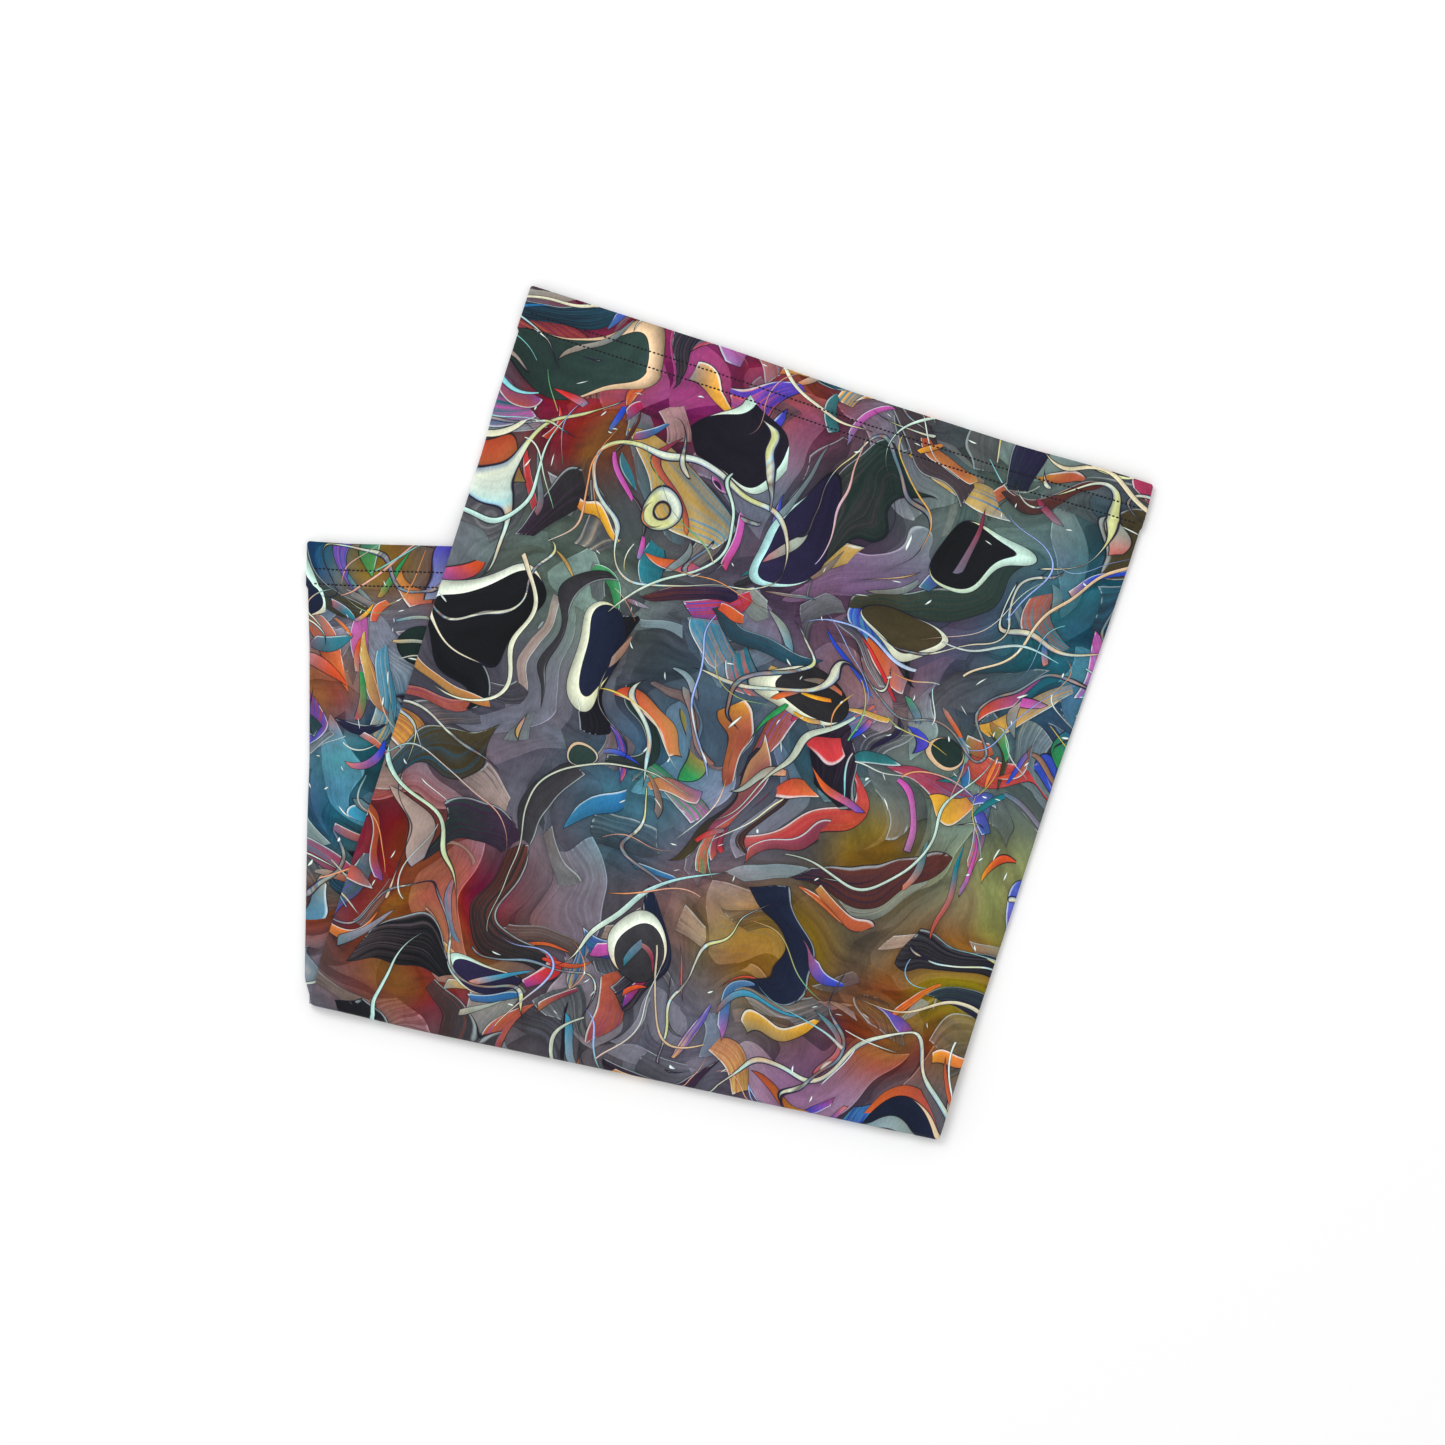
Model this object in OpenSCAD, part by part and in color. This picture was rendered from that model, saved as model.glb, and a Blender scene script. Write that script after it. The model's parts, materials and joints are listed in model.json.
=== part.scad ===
// A knitted neck gaiter: a sewn tube of thin cloth, laid flat and doubled under itself along one
// slanted crease. The front flap lies on top and leans to the right; the rear flap lies under it.
// X runs to the right, Y away from the crease and Z up. The origin is on the surface that the
// gaiter rests on, under the middle of its outline.
//
// Each flap is the tube pressed flat: an outer front wall, an outer back wall, a rolled fold down
// each side, a turned-in hem at the mouth, and a seam down the middle of the back wall.

/* [Tube] */
// Width of the tube laid flat, which is half the way round it
tube_w = 252; // [220:1:290]
// Thickness of the knitted cloth
cloth_t = 0.6; // [0.4:0.1:0.8]
// Free space between the two turned-in hems inside the flattened tube
hem_space = 0.3; // [0.3:0.1:1]
// Free space between the two flaps
flap_space = 0.3; // [0.3:0.1:1]
// Depth that a rolled side fold takes out of each edge
side_depth = 1; // [0.6:0.1:1.2]

/* [Crease] */
// Slope of the crease, falling to the right, in degrees
crease_slope = 11.8; // [8:0.1:14]

/* [Front flap] */
// Left side of the front flap, from the crease to the mouth
front_side = 295; // [250:1:330]
// Lean of the front flap's sides to the right, in degrees
front_lean = 17.8; // [14:0.1:20]
// Slope of the front flap's mouth, falling to the right, in degrees
front_mouth_slope = 17.8; // [14:0.1:20]

/* [Rear flap] */
// Left side of the rear flap, from the crease to the mouth
rear_side = 182; // [140:1:220]
// Lean of the rear flap's sides to the right, in degrees
rear_lean = 0.6; // [0:0.1:3]
// Slope of the rear flap's mouth, falling to the right, in degrees
rear_mouth_slope = 1.4; // [0:0.1:3]

/* [Hem] */
// Depth of the cloth turned in at each mouth
hem_depth = 18; // [16:0.5:25]
// Distance from the mouth to the first needle row
first_row = 10.5; // [6:0.5:12]
// Distance between the two needle rows
row_gauge = 6; // [4:0.1:6.4]
// Width of a needle thread as it lies on the cloth
needle_thread_w = 0.4; // [0.3:0.05:0.6]
// Depth that a needle thread sinks into the cloth
needle_thread_t = 0.2; // [0.1:0.05:0.3]
// Thickness of the looper thread's web on the turned-in cloth
looper_t = 0.1; // [0.05:0.05:0.1]

/* [Back seam] */
// Width of the seam allowance
seam_w = 6; // [5:0.5:8]
// Thickness of the overlock thread around the allowance
overlock_t = 0.15; // [0.1:0.05:0.2]

/* [Colours] */
// Colour of the front flap's print
front_colour = "#655a68"; // [#655a68, #4b4b55, #7a6a72]
// Colour of the rear flap's print
rear_colour = "#7d8a94"; // [#7d8a94, #6b7f86, #8d8f8a]
// Colour of the reverse of the cloth
reverse_colour = "#e6e2de"; // [#e6e2de, #f2f0ec, #d6d2ce]
// Colour of the hem threads
hem_thread_colour = "#26222b"; // [#26222b, #15151a, #3a3440]
// Colour of the overlock thread
seam_thread_colour = "#efece8"; // [#efece8, #26222b]

/* [Hidden] */
$fn = 48;

flap_t = 4 * cloth_t + hem_space;
fold_z = flap_t + flap_space / 2;
crease_len = tube_w / cos(front_lean - crease_slope);
// Clearance that keeps the turned-in cloth off the side folds
hem_clear = 0.5;
// Clearance between the end of the seam and the bend at the crease
seam_clear = 1;
// Clearance between the front flap, which turns, and the bend at the crease
turn_clear = 0.1;
// How far a cutting shape runs past what it cuts
over = 1;

// A direction in the plan, from a lean to the right of the Y axis
function along(lean) = [sin(lean), cos(lean)];
// A direction in the plan, from a slope that falls to the right of the X axis
function across(slope) = [cos(slope), -sin(slope)];
function cross2(a, b) = a.x * b.y - a.y * b.x;
// Where the line from p in direction a meets the line from q in direction b
function meet(p, a, q, b) = p + a * cross2(q - p, b) / cross2(a, b);
// Corners of a flap from its left crease corner: crease left, crease right, mouth right, mouth left
function flap_corners(start, side, lean, slope) = [
    start,
    meet(start, across(crease_slope), crease_right, along(lean)),
    meet(start + side * along(lean), across(slope), crease_right, along(lean)),
    start + side * along(lean),
];
// Point on the side line from p where the flap leaves the bend at the crease
function bend_start(p, lean, clear) =
    p + along(lean) * (fold_z + clear) / cos(lean - crease_slope);

// The outline's own box puts the origin under its middle
rel_front_left = front_side * along(front_lean);
rel_crease_right = crease_len * across(crease_slope);
rel_front_right = meet(
    rel_front_left, across(front_mouth_slope), rel_crease_right, along(front_lean)
);
crease_left = -[rel_front_right.x, rel_front_left.y + rel_crease_right.y] / 2;
crease_right = crease_left + rel_crease_right;
front_corners = flap_corners(crease_left, front_side, front_lean, front_mouth_slope);
rear_corners = flap_corners(crease_left, rear_side, rear_lean, rear_mouth_slope);

// A flap's facts: its corners, lean, mouth slope, lowest height, whether its front faces up, and
// its clearance from the bend at the crease
REAR = [rear_corners, rear_lean, rear_mouth_slope, 0, false, 0];
FRONT = [front_corners, front_lean, front_mouth_slope, flap_t + flap_space, true, turn_clear];
function corners(flap) = flap[0];
function lean(flap) = flap[1];
function slope(flap) = flap[2];
function floor_z(flap) = flap[3];
function front_up(flap) = flap[4];
function low_left(flap) = bend_start(corners(flap)[0], lean(flap), flap[5]);
function low_right(flap) = bend_start(corners(flap)[1], lean(flap), flap[5]);
function mouth_w(flap) = norm(corners(flap)[2] - corners(flap)[3]);
// Height of a layer of thickness t that lies at depth d below the outside of the front or back wall
function layer_z(flap, is_front, d, t) =
    floor_z(flap) + (is_front == front_up(flap) ? flap_t - d - t : d);

// Point at distance d from p towards q
function towards(p, q, d) = p + (q - p) * d / norm(q - p);

// Plan of a flap between the bend and the mouth, with a depth taken off each side, or added to
// it where the depth is below zero
module flap_plan(flap, depth) {
    c = corners(flap);
    at_bend = depth / cos(lean(flap) - crease_slope);
    at_mouth = depth / cos(lean(flap) - slope(flap));
    polygon([
        towards(low_left(flap), low_right(flap), at_bend),
        towards(low_right(flap), low_left(flap), at_bend),
        towards(c[2], c[3], at_mouth),
        towards(c[3], c[2], at_mouth),
    ]);
}

// Puts children in a frame at the mouth's left corner: X along the mouth, Y out of the tube
module at_mouth(flap) {
    translate(corners(flap)[3]) rotate(-slope(flap)) children();
}

// A strip across the flap, parallel to the mouth, that starts at depth d and is w wide
module cross_strip(flap, d, w, inset, z, t) {
    translate([0, 0, z]) linear_extrude(t) at_mouth(flap)
        translate([inset, -d - w]) square([mouth_w(flap) - 2 * inset, w]);
}

// The place of one needle row on one wall; extra makes it break through the wall's outside
module needle_row(flap, is_front, d, extra) {
    outward = is_front == front_up(flap) ? 1 : -1;
    z = layer_z(flap, is_front, 0, needle_thread_t);
    cross_strip(
        flap, d - needle_thread_w / 2, needle_thread_w, side_depth,
        outward > 0 ? z : z - extra, needle_thread_t + extra
    );
}

module wall(flap, is_front) {
    difference() {
        translate([0, 0, layer_z(flap, is_front, 0, cloth_t)])
            linear_extrude(cloth_t) flap_plan(flap, side_depth);
        for (row = [0, 1]) {
            needle_row(flap, is_front, first_row + row * row_gauge, over);
        }
    }
}

// A rolled side fold: a bar whose section is a segment of a circle, as tall as the flap
module side_fold(flap, is_left) {
    c = corners(flap);
    start = is_left ? low_left(flap) : low_right(flap);
    stop = is_left ? c[3] : c[2];
    half_t = flap_t / 2;
    roll_r = (half_t * half_t + side_depth * side_depth) / (2 * side_depth);
    inward = is_left ? 1 : -1;
    translate([0, 0, floor_z(flap)]) intersection() {
        translate([start.x, start.y, half_t]) rotate([0, 0, -lean(flap)])
            rotate([-90, 0, 0]) translate([0, 0, -over])
            linear_extrude(norm(stop - start) + 2 * over) intersection() {
                translate([inward * roll_r, 0]) circle(r = roll_r);
                translate([is_left ? -over : -side_depth, -flap_t])
                    square([side_depth + over, 2 * flap_t]);
            }
        translate([0, 0, -over]) linear_extrude(flap_t + 2 * over) flap_plan(flap, -over);
    }
}

// The cloth turned in at the mouth, flat against the inside of one wall
module hem_turn(flap, is_front) {
    cross_strip(
        flap, 0, hem_depth, side_depth + hem_clear,
        layer_z(flap, is_front, cloth_t, cloth_t), cloth_t
    );
}

module needle_thread(flap, row) {
    for (is_front = [true, false]) {
        needle_row(flap, is_front, first_row + row * row_gauge, 0);
    }
}

// The looper thread's web on the inside of the hem, as wide as the two needle rows
module looper_thread(flap) {
    for (is_front = [true, false]) {
        cross_strip(
            flap, first_row, row_gauge, side_depth + hem_clear,
            layer_z(flap, is_front, 2 * cloth_t, looper_t), looper_t
        );
    }
}

// A band beside the seam, inside the back wall, from the hem to the bend at the crease
module seam_band(flap, depth, t) {
    c = corners(flap);
    crease_line = low_right(flap) - low_left(flap);
    seam_top = (c[2] + c[3]) / 2 - along(lean(flap)) * (hem_depth + seam_clear);
    seam_foot = meet(seam_top, along(lean(flap)), low_left(flap), crease_line);
    seam_len = norm(seam_top - seam_foot) - 2 * seam_clear;
    translate([seam_top.x, seam_top.y, layer_z(flap, false, depth, t)])
        rotate([0, 0, -lean(flap)]) translate([0, -seam_len, 0])
        cube([seam_w, seam_len, t]);
}

module seam_allowance(flap) {
    seam_band(flap, cloth_t, 2 * cloth_t);
}

module overlock_thread(flap) {
    seam_band(flap, 3 * cloth_t, overlock_t);
}

// A layer of cloth that runs round the crease, at a distance d inside the outermost layer
module bend(d) {
    outer_r = fold_z - d;
    translate([crease_left.x, crease_left.y, fold_z]) rotate([0, 0, -crease_slope])
        translate([0, fold_z, 0]) rotate([0, 90, 0]) linear_extrude(crease_len)
        intersection() {
            difference() {
                circle(r = outer_r);
                circle(r = outer_r - cloth_t);
            }
            translate([-outer_r - over, -outer_r - over])
                square([2 * (outer_r + over), outer_r + over]);
        }
}

module rear_front_wall() { color(rear_colour) wall(REAR, true); }
module rear_back_wall() { color(rear_colour) wall(REAR, false); }
module rear_left_fold() { color(rear_colour) side_fold(REAR, true); }
module rear_right_fold() { color(rear_colour) side_fold(REAR, false); }
module rear_front_hem_turn() { color(rear_colour) hem_turn(REAR, true); }
module rear_back_hem_turn() { color(rear_colour) hem_turn(REAR, false); }
module rear_first_needle_thread() { color(hem_thread_colour) needle_thread(REAR, 0); }
module rear_second_needle_thread() { color(hem_thread_colour) needle_thread(REAR, 1); }
module rear_looper_thread() { color(hem_thread_colour) looper_thread(REAR); }
module rear_seam_allowance() { color(reverse_colour) seam_allowance(REAR); }
module rear_overlock_thread() { color(seam_thread_colour) overlock_thread(REAR); }
module front_front_wall() { color(front_colour) wall(FRONT, true); }
module front_back_wall() { color(front_colour) wall(FRONT, false); }
module front_left_fold() { color(front_colour) side_fold(FRONT, true); }
module front_right_fold() { color(front_colour) side_fold(FRONT, false); }
module front_front_hem_turn() { color(front_colour) hem_turn(FRONT, true); }
module front_back_hem_turn() { color(front_colour) hem_turn(FRONT, false); }
module front_first_needle_thread() { color(hem_thread_colour) needle_thread(FRONT, 0); }
module front_second_needle_thread() { color(hem_thread_colour) needle_thread(FRONT, 1); }
module front_looper_thread() { color(hem_thread_colour) looper_thread(FRONT); }
module front_seam_allowance() { color(reverse_colour) seam_allowance(FRONT); }
module front_overlock_thread() { color(seam_thread_colour) overlock_thread(FRONT); }
module crease_outer_bend() { color(front_colour) bend(0); }
module crease_inner_bend() { color(rear_colour) bend(flap_t - cloth_t); }

rear_front_wall();
rear_back_wall();
rear_left_fold();
rear_right_fold();
rear_front_hem_turn();
rear_back_hem_turn();
rear_first_needle_thread();
rear_second_needle_thread();
rear_looper_thread();
rear_seam_allowance();
rear_overlock_thread();
front_front_wall();
front_back_wall();
front_left_fold();
front_right_fold();
front_front_hem_turn();
front_back_hem_turn();
front_first_needle_thread();
front_second_needle_thread();
front_looper_thread();
front_seam_allowance();
front_overlock_thread();
crease_outer_bend();
crease_inner_bend();
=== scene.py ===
import json
import math
from typing import NamedTuple

import bpy
import numpy as np
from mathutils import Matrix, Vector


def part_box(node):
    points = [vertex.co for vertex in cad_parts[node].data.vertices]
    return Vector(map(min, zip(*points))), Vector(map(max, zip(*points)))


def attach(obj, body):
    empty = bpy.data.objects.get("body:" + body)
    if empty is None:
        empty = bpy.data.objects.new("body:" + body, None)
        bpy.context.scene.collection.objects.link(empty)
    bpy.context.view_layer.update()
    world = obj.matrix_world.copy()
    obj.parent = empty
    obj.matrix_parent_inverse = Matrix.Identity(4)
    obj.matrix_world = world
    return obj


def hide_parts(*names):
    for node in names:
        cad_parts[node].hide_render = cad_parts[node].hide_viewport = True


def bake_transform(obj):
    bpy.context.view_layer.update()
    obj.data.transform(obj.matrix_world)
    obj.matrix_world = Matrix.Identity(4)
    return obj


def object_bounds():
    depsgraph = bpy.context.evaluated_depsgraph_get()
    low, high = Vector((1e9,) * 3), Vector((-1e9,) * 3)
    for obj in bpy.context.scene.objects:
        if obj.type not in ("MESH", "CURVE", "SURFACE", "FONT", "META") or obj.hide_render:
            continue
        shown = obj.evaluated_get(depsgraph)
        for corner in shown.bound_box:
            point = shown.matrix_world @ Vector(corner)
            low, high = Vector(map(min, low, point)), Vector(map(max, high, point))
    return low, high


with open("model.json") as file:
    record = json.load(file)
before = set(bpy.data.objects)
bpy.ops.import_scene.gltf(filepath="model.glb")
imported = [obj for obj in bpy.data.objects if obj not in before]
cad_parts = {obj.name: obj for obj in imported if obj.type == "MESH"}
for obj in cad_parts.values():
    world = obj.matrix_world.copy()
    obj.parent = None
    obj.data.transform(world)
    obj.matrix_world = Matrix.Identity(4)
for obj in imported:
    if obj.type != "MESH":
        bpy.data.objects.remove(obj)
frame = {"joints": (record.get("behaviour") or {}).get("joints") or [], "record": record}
cad_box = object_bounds()

MM = 0.001

# ---------------------------------------------------------------- sizes, in metres

CLOTH_T = 0.55 * MM          # thickness of the jersey
SEAM_PLY_T = 0.45 * MM       # thickness of each ply of the seam allowance
HALF_THICK = 1.0 * MM        # half the thickness of a flap, away from its hem and the crease
HALF_HEM = 1.35 * MM         # half the thickness at the hem and at the crease
HEM_DEPTH = 18 * MM          # depth of the cloth turned in at a mouth
STITCH_ROWS = (10.5 * MM, 16.5 * MM)   # the two needle rows' distances from the mouth
STITCH_PITCH = 1.66 * MM     # from one stitch to the next
ROLL = 1.5 * MM              # how far in from its edge a side fold reaches
SIDE_ARC = 2 * MM            # half the cloth that a side fold takes, round the outside
SEAM_WIDTH = 6 * MM          # how far the seam allowance reaches from the back seam
BEND_STEPS = 16              # steps round the crease
CREASE_REACH = 5 * MM        # how far the crease's own cloth runs on to each flap
TUBE_WIDTH = 252 * MM        # width of the tube laid flat, for the print's coordinates
WALE = 0.7                   # distance between the jersey's columns of stitches, in mm
COURSE = 0.55                # distance between its rows, in mm

# ---------------------------------------------------------------- the frame's own facts

record = frame["record"]
joint = frame["joints"][0]
mounts = {mount["name"]: mount for mount in record["mounts"]}

hinge = np.array(joint["pos_m"])
crease_dir = np.array([joint["axis"][0], joint["axis"][1]])
crease_in = np.array([-crease_dir[1], crease_dir[0]])
fold_z = hinge[2]
crease_point = hinge[:2] - crease_in * fold_z


def add_object(name, data):
    """A new object in the scene, at the origin."""
    obj = bpy.data.objects.new(name, data)
    bpy.context.scene.collection.objects.link(obj)
    return obj


def smooth(value):
    """0 below 0, 1 above 1, and a smooth step between."""
    t = np.clip(value, 0, 1)
    return t * t * (3 - 2 * t)


def rise(distance, length):
    """0 at a distance of 0, and smoothly up to 1 at the length, which is in mm."""
    return smooth(distance / (length * MM))


def fade(distance, length):
    """1 at a distance of 0, and smoothly down to 0 at the length, which is in mm."""
    return smooth(1 - distance / (length * MM))


def bell(distance, width):
    """1 at a distance of 0, and a bell curve to both sides, with the width in mm."""
    return np.exp(-(distance / (width * MM)) ** 2)


def reach(point, direction, axis, target):
    """The point on a line where its coordinate on one axis is target."""
    return point + direction * (target - point[axis]) / direction[axis]


crease_left = reach(crease_point, crease_dir, 0, cad_box[0].x)
crease_right = reach(crease_point, crease_dir, 1, cad_box[0].y)


def waves(x, y, seed, length, count=9):
    """A smooth, seeded, random height from -1 to 1 or so, with a wavelength of about length."""
    rng = np.random.default_rng(seed)
    total = np.zeros(np.broadcast(x, y).shape)
    for _ in range(count):
        angle = rng.uniform(0, 2 * math.pi)
        turn = 2 * math.pi / (length * rng.uniform(0.7, 1.6))
        phase = rng.uniform(0, 2 * math.pi)
        total += np.sin(turn * (x * math.cos(angle) + y * math.sin(angle)) + phase)
    return total / math.sqrt(count)


def ripples(plan, seed, length):
    """Waves over the points of a plan, with their length in mm."""
    return waves(plan[..., 0], plan[..., 1], seed, length * MM)


# ---------------------------------------------------------------- the two flaps

FURROW = 0.2 * MM            # depth of the furrow along a seam or a row of stitches
PUCKER = 0.04 * MM           # height of the puckers beside the stitches
SEAM_RISE = 0.22 * MM        # how far the back wall stands up over its seam allowance
LIP_WAVE = 0.16 * MM         # how far the mouth's edges gape
LOOSE_WAVE = 0.07 * MM       # how far a flap's two walls part where nothing holds them
REAR_GAP = 0.45 * MM         # what the front flap keeps above the rear flap, and above its hem and
REAR_HEM_LIFT = 0.75 * MM    # its seam, which lift it a little more
REAR_SEAM_LIFT = 0.3 * MM
FLOOR_GAP = 0.55 * MM        # what it keeps above the floor where it has sunk beside the rear flap
LONG_RIPPLE = 0.16 * MM      # heights of the front flap's ripples
SHORT_RIPPLE = 0.06 * MM
FRONT_SAG = 1.45 * MM        # how far the middles of the two mouths' edges hang back
REAR_SAG = 1.0 * MM
CREASE_BULGE = 0.4 * MM      # how far the crease stands out, how far its left corner is drawn in,
CREASE_DRAWN_IN = 0.75 * MM  # and how much further its right corner stands out
CREASE_POINT = 0.4 * MM

# How far each side of a flap lies inside the straight line between its corners, left side first:
# pairs of distance from the mouth and distance in, in mm. The hem stands out, and the side bows.
SIDE_PROFILES = {
    "front": (
        ((0, -2.1), (17.4, -2.2), (18.6, -1.3), (50, -1.3), (65, -0.5), (100, -0.2), (150, 0),
         (276, 0), (290, 1.6)),
        ((0, -1.1), (10, -1.9), (17.4, -2.0), (18.6, -1.45), (34, -1.5), (67, -1.0), (100, -0.2),
         (120, 0.5), (182, 0.6), (220, 1.0), (250, 0.8), (262, 0.5)),
    ),
    "rear": (
        ((0, -1.2), (17.4, -1.5), (18.6, -0.7), (40, 0.15), (85, 0.6), (110, 0), (160, -0.3),
         (171, -0.3), (177.5, 1.6)),
        ((0, -1.0), (17.4, -1.0), (18.6, -0.4), (205, 0.6), (220, 0.5)),
    ),
}


def profile(distance, pairs):
    """A profile's value, in metres."""
    where, inset = np.array(pairs).T * MM
    return np.interp(distance, where, inset)


class Flap:
    """One flap of the folded tube: its plan, its heights, and where its print lies."""

    def __init__(self, name, is_front, left_top, right_top):
        self.name = name
        self.body = name + "_flap"
        self.is_front = is_front
        axis = mounts[name + "_mouth"]["axis"]
        self.out = np.array([axis[0], axis[1]])
        self.across = np.array([self.out[1], -self.out[0]])
        self.mouth_left = left_top
        self.mouth_right = right_top
        self.length_left = self.length_at(left_top)
        self.length_right = self.length_at(right_top)

    def length_at(self, mouth_point):
        """Distance along the flap from its mouth to the line where the bend begins."""
        height = (mouth_point - crease_point) @ crease_in - fold_z
        return height / (self.out @ crease_in)

    def facing(self, is_front_wall):
        """1 for a wall whose outer face looks up when the gaiter is folded, and -1 if it looks down."""
        return 1 if is_front_wall == self.is_front else -1

    def length(self, share):
        """Distance from the mouth to the bend at that share of the width."""
        return self.length_left * (1 - share) + self.length_right * share

    def side_insets(self, y):
        """How far the left and right outlines lie inside the straight sides, y from the mouth."""
        left, right = SIDE_PROFILES[self.name]
        return profile(y, left), profile(y, right)

    def mouth_sag(self, share, y):
        """How far the mouth's edge, and the cloth near it, hangs back from a straight line."""
        if self.is_front:
            sag = FRONT_SAG * smooth((share - 0.28) / 0.3) * smooth((0.95 - share) / 0.18)
        else:
            sag = REAR_SAG * smooth(share / 0.12 + 0.4) * (1 - 0.5 * smooth((share - 0.4) / 0.2))
        return sag * fade(y, 60)

    def roll_widths(self, y):
        """How far in the side folds reach on the left and the right."""
        return ROLL + 2.4 * MM * fade(self.length_left - y, 9), ROLL + 0 * y

    def half_thickness(self, plan, share, y):
        """Half the flap's thickness, thicker at the hem and where it runs into the bend."""
        to_bend = self.length(share) - y
        hem = fade(y - HEM_DEPTH + 0.9 * MM, 1.8)
        full = np.maximum(fade(to_bend, 45), hem)
        half = HALF_THICK + (HALF_HEM - HALF_THICK) * full
        lip = LIP_WAVE * fade(y, 14) * (1 + ripples(plan, 31, 60))
        loose = LOOSE_WAVE * (1 + ripples(plan, 32, 38)) * (1 - hem)
        return half + (np.maximum(lip, 0) + np.maximum(loose, 0)) * rise(to_bend, 20)

    def underside(self, plan, share, y):
        """Height of the flap's lower surface."""
        if not self.is_front:
            return np.zeros_like(share * y)
        resting = support_height(plan)
        free = rise(self.length(share) - y, 30)
        ripple = LONG_RIPPLE * ripples(plan, 41, 70) + SHORT_RIPPLE * ripples(plan, 42, 24)
        at_bend = 2 * fold_z - 2 * HALF_HEM
        return at_bend * (1 - free) + (resting + ripple) * free

    def surface(self, columns, y, is_front_wall):
        """Points of one wall's outer face at the given columns and distances from the mouth."""
        y = np.asarray(y)
        share, corner_drop, side, roll_turn, factor = columns
        left_inset, right_inset = self.side_insets(y)
        left_roll, right_roll = self.roll_widths(y)
        left = self.mouth_left + self.across * left_inset[..., None] - self.out * y[..., None]
        right = self.mouth_right - self.across * right_inset[..., None] - self.out * y[..., None]
        from_left = left_roll * (1 - np.cos(roll_turn))
        from_right = right_roll * (1 - np.cos(roll_turn))
        inner_left = left + self.across * left_roll[..., None]
        inner_right = right - self.across * right_roll[..., None]
        plan = inner_left + (inner_right - inner_left) * share[..., None]
        plan = np.where((side < 0)[..., None], left + self.across * from_left[..., None], plan)
        plan = np.where((side > 0)[..., None], right - self.across * from_right[..., None], plan)
        back = corner_drop * fade(y, 1.5) + self.mouth_sag(share, y)
        plan = plan - self.out * back[..., None]
        half = self.half_thickness(plan, share, y)
        middle = self.underside(plan, share, y) + half
        height = half * factor
        if not is_front_wall:
            height = height + self.seam_ridge(share, y)
        height = height - self.stitch_dip(share, y, is_front_wall) * factor
        level = np.maximum(middle + self.facing(is_front_wall) * height, 0)
        return np.concatenate([plan, level[..., None]], axis=-1)

    def seam_ridge(self, share, y):
        """The back wall stands up over its seam allowance, with a furrow at the seam itself."""
        from_seam = (share - 0.5) * TUBE_WIDTH
        to_bend = self.length(share) - y
        ridge = fade(np.abs(from_seam - SEAM_WIDTH / 2) - SEAM_WIDTH / 2, 4)
        inside = rise(y - HEM_DEPTH, 6) * rise(to_bend, 25)
        return SEAM_RISE * ridge * inside - FURROW * bell(from_seam, 0.45) * rise(to_bend, 4)

    def stitch_dip(self, share, y, is_front_wall):
        """How far the cloth is pulled in along the needle rows, with a pucker at the stitches."""
        dip = 0
        pucker = waves(share * TUBE_WIDTH, y * 0.3, 51 + is_front_wall, 5.2 * MM, 5)
        for row in STITCH_ROWS:
            dip = dip + FURROW * bell(y - row, 0.55) + PUCKER * pucker * bell(y - row, 1.8)
        return dip

    def print_v(self, share, y):
        """Distance down the unrolled tube from the front mouth."""
        if self.is_front:
            return y + 0 * share
        return front.length(share) + math.pi * fold_z + self.length(share) - y


def support_height(plan):
    """What the front flap lies on: the rear flap, and beyond its edges a slope down to the floor."""
    over_mouth = (plan - rear.mouth_left) @ rear.out
    over_right = (plan - rear.mouth_right) @ rear.across
    beyond = np.maximum(over_mouth, over_right)
    hem = fade(-over_mouth - HEM_DEPTH, 8) * fade(over_mouth, 8)
    seam = np.abs((plan - rear.mouth_left) @ rear.across - TUBE_WIDTH / 2 - SEAM_WIDTH / 2)
    ridge = fade(seam - SEAM_WIDTH / 2, 12)
    on_rear = 2 * HALF_THICK + REAR_GAP + REAR_HEM_LIFT * hem + REAR_SEAM_LIFT * ridge
    return on_rear + (FLOOR_GAP - on_rear) * rise(beyond - 1 * MM, 30)


rear_left_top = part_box("rear_left_fold")[1].y
rear_right_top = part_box("rear_right_fold")[1].y
rear_axis = np.array(mounts["rear_mouth"]["axis"][:2])
front_axis = np.array(mounts["front_mouth"]["axis"][:2])
rear = Flap(
    "rear", False,
    reach(crease_left, rear_axis, 1, rear_left_top),
    reach(crease_right, rear_axis, 1, rear_right_top),
)
front = Flap(
    "front", True,
    reach(crease_left, front_axis, 1, cad_box[1].y),
    reach(crease_right, front_axis, 0, cad_box[1].x),
)

# ---------------------------------------------------------------- grids

CORNER_R = 0.7 * MM          # radius of the mouth's corners, seen from above
COLUMN_STEP = 1.25 * MM      # between columns of points across a wall
ROW_STEP = 2.4 * MM          # between rows of points beyond the hem
TURN_GAP = 0.06 * MM         # how far the turned-in cloth stays off the wall it lies on
ROLL_TURNS = np.radians(np.linspace(0, 90, 8))
MOUTH_TURNS = np.radians(np.linspace(0, 180, 9))[1:-1]

# Distances from the mouth of a hem's rows of points, close together where the stitches are.
HEM_ROWS = np.concatenate([
    np.linspace(CLOTH_T, 8 * MM, 7),
    np.arange(9 * MM, 19.6 * MM, 0.375 * MM),
])


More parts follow.
